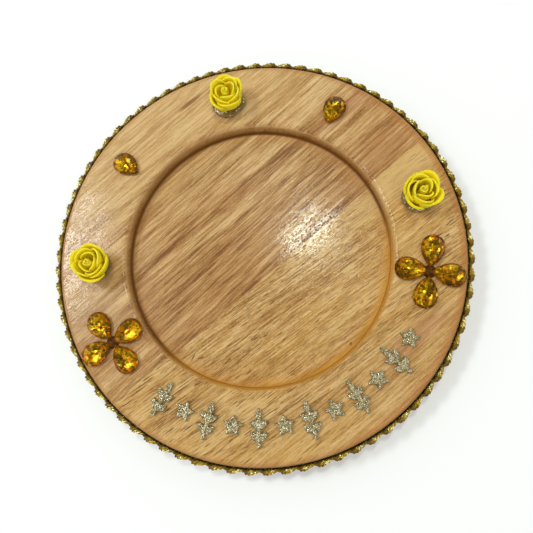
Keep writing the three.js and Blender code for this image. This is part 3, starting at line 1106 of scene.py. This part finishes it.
def stackRings(rings, centre=None):  # rings of facets, closed by a flat face or by a fan to a centre
    loops = []
    for scale, height, half in rings:
        deselectAll()
        bpy.ops.mesh.primitive_circle_add(vertices=stone["sides"], radius=1,
                                          rotation=(0, 0, pi * half / stone["sides"]))
        ring = bpy.context.object
        bpy.ops.object.transform_apply()
        moveVertices(ring, lambda p: pear(p, scale) + Vector((0, 0, height)))
        loops.append(ring)
    body = join(loops)
    bpy.ops.object.mode_set(mode="EDIT")
    for lower, upper in zip(rings, rings[1:]):
        bpy.ops.mesh.select_all(action="DESELECT")
        mesh = bmesh.from_edit_mesh(body.data)
        for edge in mesh.edges:
            heights = {round(v.co.z, 3) for v in edge.verts}
            edge.select = len(heights) == 1 and heights <= {lower[1], upper[1]}
        bmesh.update_edit_mesh(body.data)
        bpy.ops.mesh.bridge_edge_loops()
    for _, height, _ in (rings[0], rings[-1]):
        bpy.ops.mesh.select_all(action="DESELECT")
        selectWhere(body, lambda p: abs(p.z - height) < 0.001)
        bpy.ops.mesh.edge_face_add()
    if centre is not None:
        bpy.ops.mesh.poke()
        mesh = bmesh.from_edit_mesh(body.data)
        hub = max(mesh.verts, key=lambda v: len(v.link_edges) * (abs(v.co.z - rings[-1][1]) < 0.01))
        hub.co.z = centre
        bmesh.update_edit_mesh(body.data)
    bpy.ops.mesh.select_all(action="SELECT")
    bpy.ops.mesh.quads_convert_to_tris(quad_method="SHORTEST_DIAGONAL")
    bpy.ops.mesh.normals_make_consistent(inside=False)
    deselectAll()
    return body


def paintFacetReflections(piece, seed):  # each foil facet gets a painted reflection of its own, bright or dark and brighter towards one side, brown ones round the rim
    draw = random.Random(seed)
    shades = piece.data.color_attributes.new("facet", "FLOAT_COLOR", "CORNER")
    lit = draw.uniform(0, 2 * pi)
    for face in piece.data.polygons:
        outer = max(piece.data.vertices[v].co.z for v in face.vertices) > amber["rimHeight"]
        palette = amber["rim"] if outer and draw.random() < amber["rimShare"] else amber["facets"]
        facing = 0.5 + 0.5 * cos(atan2(face.center.y, face.center.x) - lit)
        shade = palette[int((amber["chance"] * draw.random() + amber["facing"] * facing) * len(palette))]
        linear = srgb(*shade)
        for corner in face.loop_indices:
            shades.data[corner].color = linear


def makeAmber():
    finish = Finish("amberAcrylic", roughness=0.03, IOR=1.3, Transmission_Weight=1,
                    Specular_IOR_Level=amber["gloss"], Specular_Tint=amber["gleam"], Alpha=amber["glassy"])
    mould = finish.noise(finish.even(amber["mould"]), 2)
    return finish.set(Base_Color=amber["clear"], Normal=finish.bump(mould, 0.02))


def makeFoil():
    finish = Finish("amberFoil", roughness=0.12, Metallic=0.6)
    spots = finish.noise(finish.even(1.5), 2)
    shade = finish.add("ShaderNodeAttribute", {"attribute_name": "facet"}, {}, "Color")
    return finish.set(Base_Color=shade, Roughness=spots * 0.2 + 0.05)


def makeAmberGlueAndShade():
    finish = Finish("amberGlue", roughness=0.5, Specular_IOR_Level=0.08)
    cloud = finish.noise(finish.even(1.6), 2)
    return finish.set(Base_Color=finish.blend(cloud.rise(0.35, 0.65), amber["dab"], amber["dabPale"]),
                      Normal=finish.bump(cloud, 0.4))


def makeDab(flower, glueFinish):  # the glue squeezed out between the four tips of a flower, coloured dark as painted shade there too
    tips = [stoneEnds(f"{flower}{number}")[0] for number in range(1, 5)]
    middle = sum(tips, Vector((0, 0))) / 4
    spread = sum((tip - middle).length for tip in tips) / 4 + stone["dab"]
    deselectAll()
    bpy.ops.mesh.primitive_uv_sphere_add(segments=32, ring_count=12, radius=1)
    dab = bpy.context.object
    moveVertices(dab, lambda p: Vector((p.x * spread + middle.x, p.y * spread + middle.y,
                                        rimTop + max(p.z, 0) * stone["dabHeight"])))
    dab.data.materials.append(glueFinish)
    return dab


def makeStones():
    crown = stackRings(stone["crown"])
    foil = stackRings(stone["foil"], stone["foilCentre"])
    crown.data.materials.append(makeAmber())
    foil.data.materials.append(makeFoil())
    names = [node for node in sorted(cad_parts) if "stone" in node]
    glueFinish = makeAmberGlueAndShade()
    for seed, node in enumerate(names):
        lining = copyOf(foil, "lining")
        paintFacetReflections(lining, seed)
        cut = join([copyOf(crown, "cut"), lining])
        cut.location, cut.rotation_euler[2] = stonePlace(node)
        bpy.ops.object.transform_apply()
        if node.endswith("_1"):
            cut = join([cut, makeDab(node[:-1], glueFinish)])
        finishPiece(cut, f"{node}_cut", None, [node], 0)
    for pattern in (crown, foil):
        bpy.data.objects.remove(pattern)


def girdleOf(node):  # the widest ring of the CAD stone, in millimetres
    verts = [v.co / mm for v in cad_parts[node].data.vertices]
    return [v.xy for v in verts if abs(v.z - rimTop - stone["girdle"]) < 0.1]


def stoneEnds(node):  # the tip and the blunt end: the stone is widest nearer the blunt end
    ring = girdleOf(node)
    _, first, second = max(((a - b).length, tuple(a), tuple(b)) for a in ring for b in ring)
    ends = [Vector(first), Vector(second)]
    line = (ends[1] - ends[0]).normalized()
    widest = max(ring, key=lambda v: abs(line.cross(v - ends[0])))
    return ends if (widest - ends[0]).length > (widest - ends[1]).length else ends[::-1]


def stonePlace(node):  # where its middle is, and the way it points from its tip
    tip, blunt = stoneEnds(node)
    middle = (tip + blunt) / 2
    return (middle.x, middle.y, rimTop), atan2(blunt.y - tip.y, blunt.x - tip.x)


makeStones()
print("rhinestones ready")


# Glitter ornaments: the cut shapes with soft edges and a coat of coarse glitter
glitter = {
    "weld": 0.01,
    "voxel": 0.34,
    "softening": 0.5,
    "passes": 4,
    "cloud": 0.35,
    "grain": 0.22,
    "flake": 0.52,
    "dark": srgb(112, 98, 64),
    "middle": srgb(158, 144, 104),
    "pale": srgb(206, 196, 158),
    "spark": srgb(250, 246, 226),
    "tilt": 0.9,
}


def makeGlitter():
    finish = Finish("champagneGlitter", roughness=0.35, Metallic=0.75)
    flakes = finish.cells(finish.even(glitter["flake"]))
    shade, spread, _ = finish.split(flakes)
    stops = [(0.0, glitter["dark"]), (0.55, glitter["middle"]), (0.85, glitter["pale"]),
             (1.0, glitter["spark"])]
    colour = finish.add("ShaderNodeValToRGB", {"stops": stops}, [shade])
    facing = finish.add("ShaderNodeNewGeometry", {}, {}, "Normal")
    tilt = finish.add("ShaderNodeVectorMath", {"operation": "SUBTRACT"}, [flakes, (0.5, 0.5, 0.5)])
    tilt = finish.add("ShaderNodeVectorMath", {"operation": "SCALE"}, {0: tilt, "Scale": glitter["tilt"]})
    normal = finish.add("ShaderNodeVectorMath", {"operation": "ADD"}, [facing, tilt])
    normal = finish.add("ShaderNodeVectorMath", {"operation": "NORMALIZE"}, [normal])
    return finish.set(Base_Color=colour, Roughness=spread * 0.3 + 0.2, Normal=normal)


def makeOrnaments():
    finish = makeGlitter()
    cloud = bpy.data.textures.new("glitterGrain", "CLOUDS")
    cloud.noise_scale = glitter["cloud"]
    for node in sorted(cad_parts):
        if not node.startswith("glitter_ornament"):
            continue
        cut = copyOf(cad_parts[node], node)
        cut.parent = None
        for key in list(cut.keys()):
            del cut[key]
        makeActive(cut)
        cut.scale = (1 / mm, 1 / mm, 1 / mm)
        bpy.ops.object.transform_apply(location=False, rotation=False, scale=True)
        applyModifier(cut, "WELD", merge_threshold=glitter["weld"])
        applyModifier(cut, "REMESH", mode="VOXEL", voxel_size=glitter["voxel"])
        applyModifier(cut, "SMOOTH", factor=glitter["softening"], iterations=glitter["passes"])
        applyModifier(cut, "DISPLACE", texture=cloud, strength=glitter["grain"], mid_level=0.5)
        finishPiece(cut, f"{node}_coated", finish, [node], 0)


makeOrnaments()
print("ornaments ready")

bpy.context.scene.view_settings.view_transform = "Standard"
